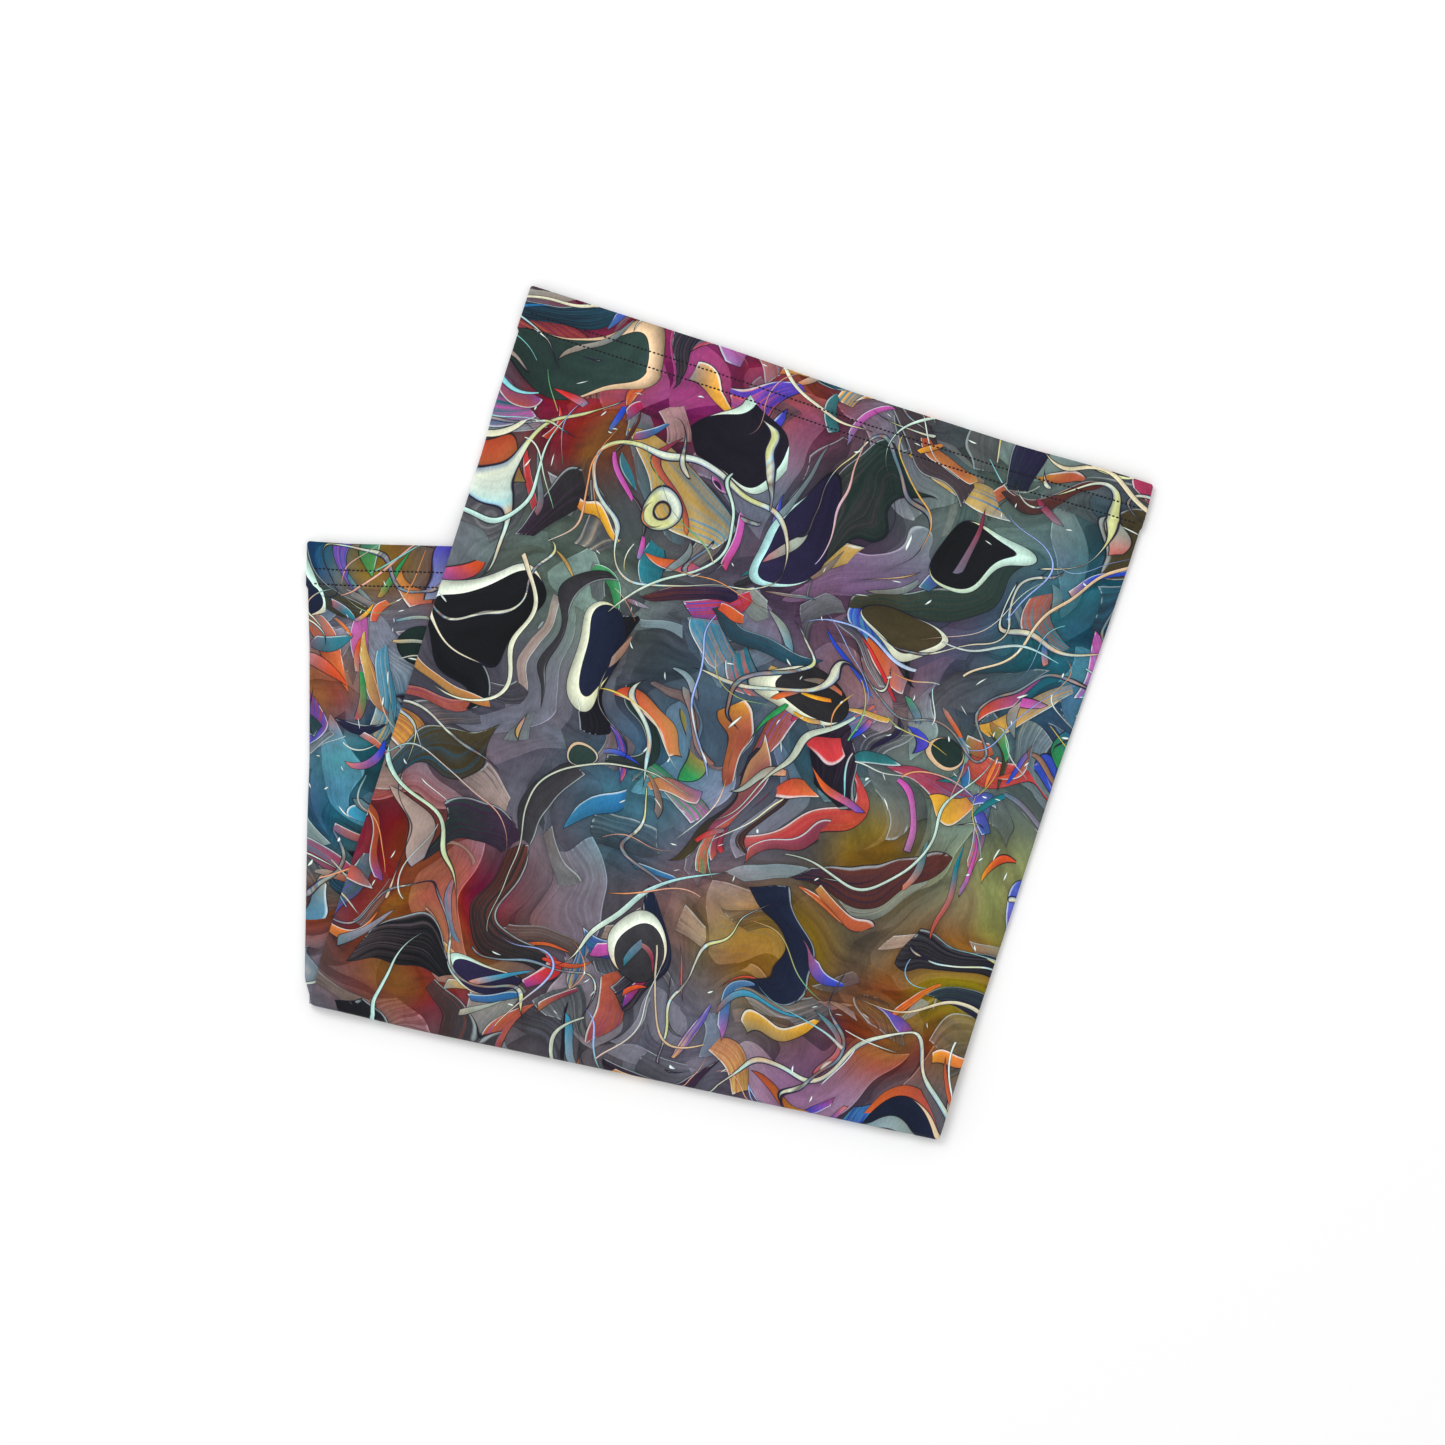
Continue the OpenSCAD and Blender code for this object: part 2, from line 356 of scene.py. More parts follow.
def make_columns(start, stop):
    """Columns across a wall from one share of its width to another, with the side folds' rounds."""
    count = round((stop - start) * TUBE_WIDTH / COLUMN_STEP)
    shares = np.linspace(start, stop, count + 1)
    near_seam = np.array([0.35, 0.8, 1.5, 2.4]) * MM / TUBE_WIDTH
    if start == 0.5:
        shares = np.union1d(shares, 0.5 + near_seam)
    if stop == 0.5:
        shares = np.union1d(shares, 0.5 - near_seam)
    rows = [(share, 0, math.pi / 2) for share in shares]
    if start == 0:
        rows = [(0, -1, turn) for turn in ROLL_TURNS[:-1]] + rows
    if stop == 1:
        rows = rows + [(1, 1, turn) for turn in ROLL_TURNS[-2::-1]]
    share, side, turn = np.array(rows).T
    return columns_from(share, side, turn)


def columns_from(share, side, turn):
    """The column arrays that Flap.surface reads: the share of the width, how far the mouth's rounded
    corner drops there, -1 or 1 in the left or right side fold, the turn round that fold, and the
    share of the flap's half thickness that this gives."""
    inward = np.where(side == 0, ROLL, ROLL * (1 - np.cos(turn)))
    corner = CORNER_R - np.sqrt(np.maximum(CORNER_R ** 2 - np.maximum(CORNER_R - inward, 0) ** 2, 0))
    drop = np.where((share == 0) | (share == 1), corner, 0)
    return share, drop, side, turn, np.sin(turn)


def ghosted(columns):
    """The columns with one more past each end, so that the surface has a slope at its edge."""
    share, _, side, turn, _ = columns

    def past(end, inner):
        if side[end] != 0:
            return share[end], side[end], -turn[inner]
        return 2 * share[end] - share[inner], 0, math.pi / 2

    return columns_from(*np.column_stack([past(0, 1), (share, side, turn), past(-1, -2)]))


def along_wall(flap, columns, fixed, to_bend):
    """Distances from the mouth: fixed ones near it, then shares of the way to the bend."""
    share = columns[0]
    start = fixed[-1]
    rest = start + (flap.length(share)[None, :] - CREASE_REACH - start) * to_bend[1:, None]
    return np.concatenate([np.repeat(np.array(fixed)[:, None], len(share), 1), rest])


def wall_points(flap, columns, y, is_front_wall):
    """Outer face points and outward normals at every column and row of y."""
    wide = ghosted(columns)
    wide_y = np.concatenate([y[:, :1], y, y[:, -1:]], axis=1)
    tile = [np.broadcast_to(part, wide_y.shape) for part in wide]
    middle = flap.surface(tile, wide_y, is_front_wall)
    step = 0.05 * MM
    down = flap.surface(tile, wide_y + step, is_front_wall) - middle
    sideways = middle[:, 2:] - middle[:, :-2]
    normal = np.cross(down[:, 1:-1], sideways)
    normal /= np.linalg.norm(normal, axis=-1, keepdims=True)
    return middle[:, 1:-1], normal * flap.facing(is_front_wall)


def wall_path(flap, columns):
    """Distances from the mouth and depths of the rows of a wall's printed face, the same of its
    reverse, and the print's distances from the mouth. They run from the bend to the mouth, round the
    folded mouth and back along the turned-in cloth."""
    to_bend = np.linspace(0, 1, round(flap.length_left / ROW_STEP))
    outside = along_wall(flap, columns, HEM_ROWS, to_bend)[::-1]
    turned = HEM_ROWS[HEM_ROWS <= HEM_DEPTH]

    def full(values):
        return np.repeat(values[:, None], len(columns[0]), 1)

    def path(depth, bulge, radius):
        fold_y = full(CLOTH_T - bulge * np.sin(MOUTH_TURNS))
        fold_depth = full(depth + radius * (1 - np.cos(MOUTH_TURNS)))
        inside_depth = full(depth + 2 * radius + 0 * turned)
        return (np.concatenate([outside, fold_y, full(turned)]),
                np.concatenate([depth + 0 * outside, fold_depth, inside_depth]))

    printed = path(0, CLOTH_T, CLOTH_T + TURN_GAP / 2)
    reverse = path(CLOTH_T, TURN_GAP, TURN_GAP / 2)
    print_y = np.concatenate([outside, full(0 * MOUTH_TURNS), -full(turned)])
    return printed, reverse, print_y


# ---------------------------------------------------------------- the print's broad colours

# The soft colours under the print. Each lies in a few round areas: the share of the front's width
# where its middle is, its distance down the unrolled tube, and its reach, both in mm.
TONES = {
    "282630": ((0.25, 66, 30), (0.62, 18, 24), (0.37, 236, 26), (0.93, 260, 22)),
    "543850": ((0.55, 80, 26), (0.74, 78, 24), (0.76, 264, 24)),
    "a03844": ((0.15, 14, 22), (0.42, 16, 22), (0.05, 222, 20)),
    "b85898": ((0.28, 20, 18),),
    "b85a30": ((0.14, 43, 18), (0.14, 250, 26), (0.87, 236, 14), (-0.28, 466, 14), (-0.05, 424, 11),
               (-0.03, 336, 12)),
    "ac7c74": ((0.66, 116, 16), (0.54, 208, 16)),
    "c09848": ((0.66, 222, 20), (0.78, 170, 14), (0.96, 212, 22), (-0.12, 474, 12)),
    "d8d0a0": ((0.97, 168, 16),),
    "748078": ((0.19, 98, 26), (0.80, 30, 28), (0.86, 145, 28), (-0.10, 350, 18)),
    "645f6c": ((0.10, 172, 34),),
    "9490a0": ((0.52, 184, 20), (0.60, 254, 20), (-0.14, 444, 20), (-0.05, 312, 16)),
    "5a6878": ((0.43, 42, 22), (0.48, 130, 26)),
    "5c8498": ((0.40, 174, 22), (-0.05, 388, 14)),
    "1a607a": ((0.97, 66, 38), (0.65, 132, 16), (-0.03, 478, 14), (-0.14, 412, 18), (-0.06, 368, 14)),
}
GROUND = "5a565c"
TONE_STRENGTH = 1.65         # how much stronger than these codes the colours are


def linear(code):
    """A colour from its six-digit code, as a linear RGBA."""
    parts = [int(code[k:k + 2], 16) / 255 for k in (0, 2, 4)]
    return (*[c / 12.92 if c <= 0.04045 else ((c + 0.055) / 1.055) ** 2.4 for c in parts], 1)


def broad_color(coords):
    """The soft colour under the print's detail. coords are the print's, in metres."""
    u, v = coords[:, 0], coords[:, 1]
    total = np.full(len(u), 0.35)
    color = total[:, None] * np.array(linear(GROUND))
    for code, areas in TONES.items():
        for share, down, radius in areas:
            weight = bell(np.hypot(u - share * TUBE_WIDTH, v - down * MM), radius)
            total = total + weight
            color = color + weight[:, None] * np.array(linear(code))
    color = color / total[:, None]
    grey = color[:, :3].mean(axis=1, keepdims=True)
    color[:, :3] = np.clip(grey + TONE_STRENGTH * (color[:, :3] - grey), 0.003, 1)
    return color


# ---------------------------------------------------------------- meshes

class Shell:
    """Collects grids of a cloth's two faces into one closed mesh with print coordinates."""

    def __init__(self):
        self.points = []
        self.cloth = []
        self.faces = []
        self.slots = []
        self.count = 0

    def add_grid(self, printed, reverse, coords):
        """A sheet between two grids of points, closed all round. coords are where the print lies."""
        rows, cols = printed.shape[:2]
        size = rows * cols
        index = np.arange(size).reshape(rows, cols)
        top = self.count + index
        under = self.count + size + index
        self.points += [printed.reshape(-1, 3), reverse.reshape(-1, 3)]
        self.cloth += [coords.reshape(-1, 3), coords.reshape(-1, 3)]
        self.count += 2 * size
        self.add_faces(top, 0)
        self.add_faces(under[:, ::-1], 1)
        rim = [
            np.stack([under[0], top[0]]), np.stack([top[-1], under[-1]]),
            np.stack([top[:, 0], under[:, 0]]), np.stack([under[:, -1], top[:, -1]]),
        ]
        for strip in rim:
            self.add_faces(strip, 1)

    def add_faces(self, grid, slot):
        a, b, c, d = grid[:-1, :-1], grid[:-1, 1:], grid[1:, 1:], grid[1:, :-1]
        quads = np.stack([a, d, c, b], axis=-1).reshape(-1, 4)
        self.faces.append(quads)
        self.slots.append(np.full(len(quads), slot))

    def build(self, name, materials):
        """Makes the object, with smooth faces and sharp cut edges."""
        points = np.concatenate(self.points)
        faces = np.concatenate(self.faces)
        mesh = bpy.data.meshes.new(name)
        mesh.from_pydata(points.tolist(), [], faces.tolist())
        mesh.polygons.foreach_set("material_index", np.concatenate(self.slots))
        mesh.polygons.foreach_set("use_smooth", np.ones(len(faces), bool))
        cloth = mesh.attributes.new("cloth", "FLOAT_VECTOR", "POINT")
        cloth.data.foreach_set("vector", np.concatenate(self.cloth).astype(np.float32).ravel())
        tone = mesh.attributes.new("tone", "FLOAT_COLOR", "POINT")
        colors = broad_color(np.concatenate(self.cloth))
        tone.data.foreach_set("color", colors.astype(np.float32).ravel())
        mesh.set_sharp_from_angle(angle=math.radians(55))
        for material in materials:
            mesh.materials.append(material)
        return add_object(name, mesh)


def print_u(columns, is_front_wall):
    """Distance round the tube. The back wall's two halves run on from the sides of the front."""
    share, _, side, turn, _ = columns
    rolled = SIDE_ARC * (1 - turn / (math.pi / 2))
    if is_front_wall:
        return share * TUBE_WIDTH + side * rolled
    beyond = 2 * SIDE_ARC - rolled
    if share.mean() < 0.5:
        return -share * TUBE_WIDTH - beyond
    return (2 - share) * TUBE_WIDTH + beyond


def wall_spans(is_front_wall):
    """The shares of the width that a wall's grids run between. The seam parts the back wall."""
    return [(0, 1)] if is_front_wall else [(0, 0.5), (0.5, 1)]


def wall_grid(flap, columns, is_front_wall):
    """The printed and reverse points of one wall with its hem, and the print's coordinates."""
    printed_path, reverse_path, print_y = wall_path(flap, columns)
    points = []
    for y, depth in (printed_path, reverse_path):
        face, normal = wall_points(flap, columns, y, is_front_wall)
        points.append(face - normal * depth[..., None])
    u = np.broadcast_to(print_u(columns, is_front_wall), print_y.shape)
    v = flap.print_v(np.broadcast_to(columns[0], print_y.shape), print_y)
    return points[0], points[1], np.stack([u, v, 0 * u], axis=-1)


def flip_if(grids, flip):
    """Reverses the columns, so that a face that looks down is wound the right way round."""
    return [grid[:, ::-1] for grid in grids] if flip else grids


def make_wall(flap, is_front_wall, materials):
    """One wall of a flap with its hem."""
    shell = Shell()
    for span in wall_spans(is_front_wall):
        grids = wall_grid(flap, make_columns(*span), is_front_wall)
        shell.add_grid(*flip_if(grids, flap.facing(is_front_wall) > 0))
    wall = "front" if is_front_wall else "back"
    return shell.build(f"{flap.name}_{wall}_cloth", materials)


def section(flap, columns, is_front_wall):
    """A wall's printed and reverse points on the line where the bend begins: along the crease,
    distance from the hinge's line, and distance inward from the crease."""
    y = flap.length(columns[0])[None, :]
    face, normal = wall_points(flap, columns, y, is_front_wall)
    parts = []
    for depth in (0, CLOTH_T):
        point = (face - normal * depth)[0]
        flat = point[:, :2] - hinge[:2]
        parts.append((flat @ crease_dir, np.abs(point[:, 2] - fold_z), flat @ crease_in))
    return parts


def crease_bow(columns):
    """How much further out than its arc the crease bulges. It is full between its two corners, drawn
    in at the rounded left one, and the right one keeps a small point."""
    share, _, side, _, factor = columns
    bow = (CREASE_BULGE + CREASE_DRAWN_IN) * smooth(share / 0.2) - CREASE_DRAWN_IN
    return bow + CREASE_POINT * (1 - factor) * (side > 0)


def bend_arcs(columns, is_front_wall):
    """The printed and reverse points between the two flaps, on arcs about the hinge's line."""
    turn = np.linspace(0, 1, BEND_STEPS + 1)[:, None]
    angle = math.pi * (turn - 0.5)
    bow = crease_bow(columns) * is_front_wall
    arcs = []
    low = section(rear, columns, is_front_wall)
    high = section(front, columns, is_front_wall)
    for (low_x, low_r, low_n), (high_x, high_r, high_n) in zip(low, high):
        x = low_x + (high_x - low_x) * turn
        r = low_r + (high_r - low_r) * turn
        inward = low_n + (high_n - low_n) * turn - (r + bow) * np.cos(angle)
        flat = hinge[:2] + x[..., None] * crease_dir + inward[..., None] * crease_in
        arcs.append(np.concatenate([flat, (fold_z + r * np.sin(angle))[..., None]], axis=-1))
    v = front.length(columns[0]) + math.pi * fold_z * (1 - turn)
    return arcs[0], arcs[1], v


def bend_end(flap, columns, is_front_wall):
    """The printed and reverse points of a flap's last stretch before the bend, and their v."""
    back = np.linspace(CREASE_REACH, 0, 4)[:, None]
    y = flap.length(columns[0])[None, :] - back
    face, normal = wall_points(flap, columns, y, is_front_wall)
    return face, face - normal * CLOTH_T, flap.print_v(columns[0], y)


def make_bend(is_front_wall, name, materials):
    """The cloth that runs round the crease, from the rear flap's wall to the front flap's."""
    shell = Shell()
    for span in wall_spans(is_front_wall):
        columns = make_columns(*span)
        from_rear = bend_end(rear, columns, is_front_wall)
        arcs = bend_arcs(columns, is_front_wall)
        to_front = bend_end(front, columns, is_front_wall)
        rows = [
            np.concatenate([first[:-1], middle, last[::-1][1:]])
            for first, middle, last in zip(from_rear, arcs, to_front)
        ]
        u = np.broadcast_to(print_u(columns, is_front_wall), rows[2].shape)
        coords = np.stack([u, rows[2], 0 * u], axis=-1)
        shell.add_grid(*flip_if([rows[0], rows[1], coords], not is_front_wall))
    return shell.build(name, materials)


# ---------------------------------------------------------------- threads

def sweep(paths, sides, normals, half_width, half_height):
    """A tube round each path. paths, sides and normals are arrays of (path, point, 3)."""
    count, steps = paths.shape[:2]
    ring = np.radians(np.arange(6) * 60 + 30)
    offset = (
        sides[..., None, :] * (np.cos(ring) * half_width)[:, None]
        + normals[..., None, :] * (np.sin(ring) * half_height)[:, None]
    )
    points = paths[..., None, :] + offset
    index = np.arange(count * steps * 6).reshape(count, steps, 6)
    nxt = np.roll(index, -1, axis=2)
    quads = np.stack([index[:, :-1], nxt[:, :-1], nxt[:, 1:], index[:, 1:]], axis=-1).reshape(-1, 4)
    faces = quads.tolist()
    faces += index[:, 0, ::-1].tolist()
    faces += index[:, -1].tolist()
    points = points.reshape(-1, 3)
    points[:, 2] = np.maximum(points[:, 2], 0)
    return points, faces


def join_parts(parts):
    """One array of points and one list of faces from several."""
    points, faces = [], []
    for some_points, some_faces in parts:
        faces += [[index + len(points) for index in face] for face in some_faces]
        points += some_points.tolist()
    return np.array(points), faces


def mesh_object(name, points, faces, material):
    """A smooth mesh of one material."""
    mesh = bpy.data.meshes.new(name)
    mesh.from_pydata(points.tolist(), [], faces)
    mesh.polygons.foreach_set("use_smooth", np.ones(len(mesh.polygons), bool))
    mesh.materials.append(material)
    return add_object(name, mesh)


def row_frame(flap, share, y, is_front_wall, depth):
    """Points below a wall's outer face, with the direction down the flap and the normal there."""
    columns = columns_from(share, 0 * share, 0 * share + math.pi / 2)
    step = 0.02 * MM
    here = flap.surface(columns, y, is_front_wall)
    down = flap.surface(columns, y + step, is_front_wall) - here
    beside = columns_from(share + step / TUBE_WIDTH, 0 * share, 0 * share + math.pi / 2)
    along = flap.surface(beside, y, is_front_wall) - here
    normal = np.cross(down, along)
    normal *= flap.facing(is_front_wall) / np.linalg.norm(normal, axis=-1, keepdims=True)
    down /= np.linalg.norm(down, axis=-1, keepdims=True)
    return here - normal * depth[..., None], down, normal


STITCH_LENGTH = 1.35 * MM
THREAD_HALF_WIDTH = 0.34 * MM
THREAD_HALF_HEIGHT = 0.13 * MM
STITCH_PROUD = -0.03 * MM    # depth of a stitch's middle, just above the cloth
STITCH_DIVE = 0.45 * MM      # how much deeper its ends are, where they go into the cloth
LOOPER_RADIUS = 0.1 * MM
OVERLOCK_RADIUS = 0.09 * MM
OVERLOCK_PITCH = 2.2 * MM


def make_needle_row(flap, name, row, material):
    """The dashes that one needle's thread shows on the outside, all the way round the hem."""
    parts = []
    count = round((TUBE_WIDTH - 2 * ROLL) / STITCH_PITCH)
    along = np.linspace(-1, 1, 9)
    for is_front_wall in (True, False):
        rng = np.random.default_rng(60 + is_front_wall)
        centre = (np.arange(count) + 0.5 + rng.uniform(-0.04, 0.04, count)) * STITCH_PITCH + ROLL
        share = (centre[:, None] + along * STITCH_LENGTH / 2) / TUBE_WIDTH
        y = row + rng.uniform(-0.06, 0.06, count)[:, None] * MM + 0 * share
        depth = STITCH_PROUD + STITCH_DIVE * along ** 6 + 0 * share
        path, down, normal = row_frame(flap, share, y, is_front_wall, depth)
        parts.append(sweep(path, down, normal, THREAD_HALF_WIDTH, THREAD_HALF_HEIGHT))
    return mesh_object(name, *join_parts(parts), material)


def one_path(flap, share, y, depth, is_front_wall, radius):
    """A single thread through points given by share, distance from the mouth and depth."""
    path, _, normal = row_frame(flap, share, y, is_front_wall, depth)
    heading = np.gradient(path, axis=0)
    heading /= np.linalg.norm(heading, axis=1, keepdims=True)
    side = np.cross(heading, normal)
    side /= np.linalg.norm(side, axis=1, keepdims=True)
    return sweep(path[None], side[None], np.cross(side, heading)[None], radius, radius)


def make_looper(flap, name, material):
    """The looper thread, to and fro between the needle rows on the turned-in cloth."""
    count = round((TUBE_WIDTH - 2 * ROLL) / STITCH_PITCH) * 2
    steps = np.arange(count + 1)
    swing = np.array([0, 0.75, 1, 0.25])[steps % 4]
    y = STITCH_ROWS[0] + (STITCH_ROWS[1] - STITCH_ROWS[0]) * swing
    share = (ROLL + steps * STITCH_PITCH / 2) / TUBE_WIDTH
    depth = np.full(count + 1, 2 * CLOTH_T + TURN_GAP + LOOPER_RADIUS / 2)
    parts = [one_path(flap, share, y, depth, wall, LOOPER_RADIUS) for wall in (True, False)]
    return mesh_object(name, *join_parts(parts), material)


def seam_range(flap):
    """Distances from the mouth over which the seam allowance lies flat inside the flap."""
    return np.linspace(HEM_DEPTH + 2 * MM, flap.length(0.5) - 4 * MM, 90)


def make_allowance(flap, name, materials):
    """The two plies of the back seam, laid to the right of it on the inside of the back wall."""
    shell = Shell()
    across = np.linspace(0, 1, 6)
    share = 0.5 + across * SEAM_WIDTH / TUBE_WIDTH
    y = seam_range(flap)[:, None] + 0 * share
    share = np.broadcast_to(share, y.shape)
    start = CLOTH_T + 0.02 * MM
    grids = []
    for ply in (0, 1):
        for face in (0, 1):
            depth = start + (ply + face * 0.95) * SEAM_PLY_T
            path, _, _ = row_frame(flap, share, y, False, np.full(y.shape, depth))
            grids.append(path)
    coords = np.stack([(2 - share) * TUBE_WIDTH, flap.print_v(share, y), 0 * y], axis=-1)
    upward = flap.facing(False) > 0
    for first, second in ((1, 0), (2, 3)):
        shell.add_grid(*flip_if([grids[first], grids[second], coords], upward == (first > second)))
    return shell.build(name, materials)


def make_overlock(flap, name, material):
    """The overlock thread, wound over the raw edge of the seam allowance."""
    ends = seam_range(flap)
    turns = int((ends[-1] - ends[0]) / OVERLOCK_PITCH)
    steps = np.arange(turns * 8 + 1)
    phase = steps % 8
    over = np.array([0.2, 0.6, 1.0, 1.04, 1.0, 0.6, 0.2, 0.16])[phase]
    thickness = 2 * SEAM_PLY_T + 0.08 * MM
    level = np.array([0, 0, 0, 0.5, 1, 1, 1, 0.5])[phase]
    y = ends[0] + steps / 8 * OVERLOCK_PITCH
    share = 0.5 + over * SEAM_WIDTH / TUBE_WIDTH
    path = one_path(flap, share, y, CLOTH_T + thickness * level, False, OVERLOCK_RADIUS)
    return mesh_object(name, *path, material)


# ---------------------------------------------------------------- materials

class Graph:
    """Short calls that build one material's nodes."""

    def __init__(self, name):
        self.material = bpy.data.materials.new(name)
        self.material.use_nodes = True
        self.tree = self.material.node_tree
        self.tree.nodes.clear()
        self.shader = self.add("ShaderNodeBsdfPrincipled")
        output = self.add("ShaderNodeOutputMaterial")
        self.tree.links.new(self.shader.outputs["BSDF"], output.inputs["Surface"])

    def put(self, socket, value):
        """Links a socket to another, or sets its value."""
        if isinstance(value, bpy.types.NodeSocket):
            self.tree.links.new(value, socket)
        else:
            socket.default_value = value

    def add(self, kind, inputs=None, **settings):
        node = self.tree.nodes.new(kind)
        for key, value in settings.items():
            setattr(node, key, value)
        for key, value in (inputs or {}).items():
            self.put(node.inputs[key], value)
        return node

    def math(self, operation, *values):
        node = self.add("ShaderNodeMath", operation=operation)
        for socket, value in zip(node.inputs, values):
            self.put(socket, value)
        return node.outputs[0]

    def minus(self, first, second):
        return self.math("SUBTRACT", first, second)

    def over(self, first, second):
        return self.math("DIVIDE", first, second)

    def times(self, first, second):
        return self.math("MULTIPLY", first, second)

    def muladd(self, first, second, added):
        return self.math("MULTIPLY_ADD", first, second, added)

    def reseed(self, seed, factor):
        """Another random number from 0 to 1, made from a cell's one."""
        return self.math("FRACT", self.times(seed, factor))

    def vector(self, operation, first, second):
        node = self.add("ShaderNodeVectorMath", operation=operation)
        self.put(node.inputs[0], first)
        self.put(node.inputs["Scale" if operation == "SCALE" else 1], second)
        return node.outputs["Vector"]

    def mix(self, factor, under, over, blend="MIX"):
        node = self.add("ShaderNodeMix", data_type="RGBA", blend_type=blend)
        for socket, value in zip((node.inputs[0], node.inputs[6], node.inputs[7]), (factor, under, over)):
            self.put(socket, value)
        return node.outputs[2]

    def scale(self, color, value):
        """A colour made lighter or darker. This and mix keep one socket type all along the chain of
        colours, so that a renderer can work through it layer by layer."""
        return self.add("ShaderNodeHueSaturation", {"Value": value, "Color": color}).outputs["Color"]

    def step(self, value, low, high, smooth_step=True):
        """0 where value is under low, 1 where it is over high."""
        kind = "SMOOTHSTEP" if smooth_step else "LINEAR"
        node = self.add("ShaderNodeMapRange", interpolation_type=kind)
        for socket, given in zip(node.inputs, (value, low, high, 0, 1)):
            self.put(socket, given)
        return node.outputs[0]

    def noise(self, point, size, detail=1, roughness=0.5):
        inputs = {"Vector": point, "Scale": 1 / size, "Detail": detail, "Roughness": roughness}
        return self.add("ShaderNodeTexNoise", inputs, noise_dimensions="2D")

    def palette(self, value, codes, blended=False):
        """One of the palette's colours, in equal shares of value from 0 to 1."""
        codes = codes.split()
        node = self.add("ShaderNodeValToRGB", {"Fac": value})
        ramp = node.color_ramp
        ramp.interpolation = "LINEAR" if blended else "CONSTANT"
        while len(ramp.elements) < len(codes):
            ramp.elements.new(0.5)
        for index, code in enumerate(codes):
            ramp.elements[index].position = index / len(codes)
            ramp.elements[index].color = linear(code)
        return node.outputs["Color"]

    def moved(self, point, by=(0, 0, 0), scale=(1, 1, 1)):
        """A point scaled and then moved. The node keeps its socket's type, as in scale above."""
        inputs = {"Vector": point, "Location": by, "Scale": scale}
        return self.add("ShaderNodeMapping", inputs, vector_type="POINT").outputs[0]

    def cloth_point(self):
        """The place on the unrolled cloth, in mm, and the broad colour there."""
        cloth = self.add("ShaderNodeAttribute", attribute_name="cloth").outputs["Vector"]
        tone = self.add("ShaderNodeAttribute", attribute_name="tone").outputs["Color"]
        return self.vector("SCALE", cloth, 1 / MM), tone

    def cell(self, point, size, shift, randomness=0.9):
        """The cell a point is in: the point from the cell's centre, the centre, and random numbers."""
        here = self.moved(point, (shift, 0.6 * shift, 0))
        inputs = {"Vector": here, "Scale": 1 / size, "Randomness": randomness}
        cells = self.add("ShaderNodeTexVoronoi", inputs, voronoi_dimensions="2D")
        place = cells.outputs["Position"]
        local = self.moved(here, self.moved(place, scale=(-1, -1, -1)))
        centre = self.moved(place, (-shift, -0.6 * shift, 0))
        seeds = self.add("ShaderNodeSeparateColor", {"Color": cells.outputs["Color"]})
        return local, centre, list(seeds.outputs)[:3]

    def turned(self, local, centre, seed, spread):
        """A cell's point in axes along and across the direction that its shape runs in, and the
        noise that this direction comes from."""
        flow = self.noise(centre, 85, 0).outputs[0]
        spin = self.muladd(seed, spread, -spread / 2)
        angle = self.muladd(flow, 9, spin)
        node = self.add("ShaderNodeVectorRotate", {"Vector": local, "Angle": angle},
                        rotation_type="Z_AXIS")
        axes = self.add("ShaderNodeSeparateXYZ", {"Vector": node.outputs[0]})
        return axes.outputs[0], axes.outputs[1], flow


# The print's palettes, as six-digit colour codes.
GREYS = """3c3a3f 4d484c 585a60 5a5860 2e2a2d 5c4640 6b6f74 33303a 4c4450 484448 485860 2a262e 7a564c
    3d3644 2a3a48 7a7478"""
DEEP = "2a262a 1c1824 38343a 272040 45383e 24485c 5a2c28 20302e 38243a 443826 16161c 2c3c3a 1a2038 17171c"
SOFT = "8494a0 787c80 9c8074 687078 8a8090 b09088 587884 909490 92685a 64748a a4a49c 786860 "
VIVID = """a8482a c8783a e0602a d43030 b02450 c850a8 3a86a8 127488 2468a0 d0a050 eca428 4a40b0 1f6a72
    d04a26 b85030 8a3048 2a44c0 e87838 2e8a50 """
CREAM = "e4dcc8 c0beb0 e6cdb0 c8dcd4 e0b494 b0d4da eae6da d8d094"
LINES = "ecebe6 8fd0dc e8c050 6cb880 f09860 a4b4f4 e8a494 d0d0d0"
FLECKS = "f4f4f0 e8e8f0"


class Strokes(NamedTuple):
    """One layer of the print's brush strokes. Lengths are in mm."""
    size: float             # of the layer's cells, each of which holds one stroke at most
    shift: float            # moves the cells, so that no two layers have the same
    length: float           # half the stroke's length
    width: float            # half its width, where it is widest
    bend: float             # how strongly it may curve
    share: float            # the share of the cells that hold a stroke
    colors: str
    curled: bool = True     # whether the print's fine curl bends the strokes
    busy: float = 2.0       # how much the share differs from place to place
    hair: float = 0         # strength of the brush's streaks
    local: float = 0        # how much of the broad colour is mixed in
    glow: float = 0         # brightness of the line along the lit edge
    cut: float = 0          # where along its half length a straight slanted cut ends the stroke
    rim_width: float = 0.3
    shadow: float = 0.15    # how dark the shadow round it is
    blunt: float = 1.0      # how blunt its two ends are
    spread: float = 2.0     # how far it may turn from the flow, in radians


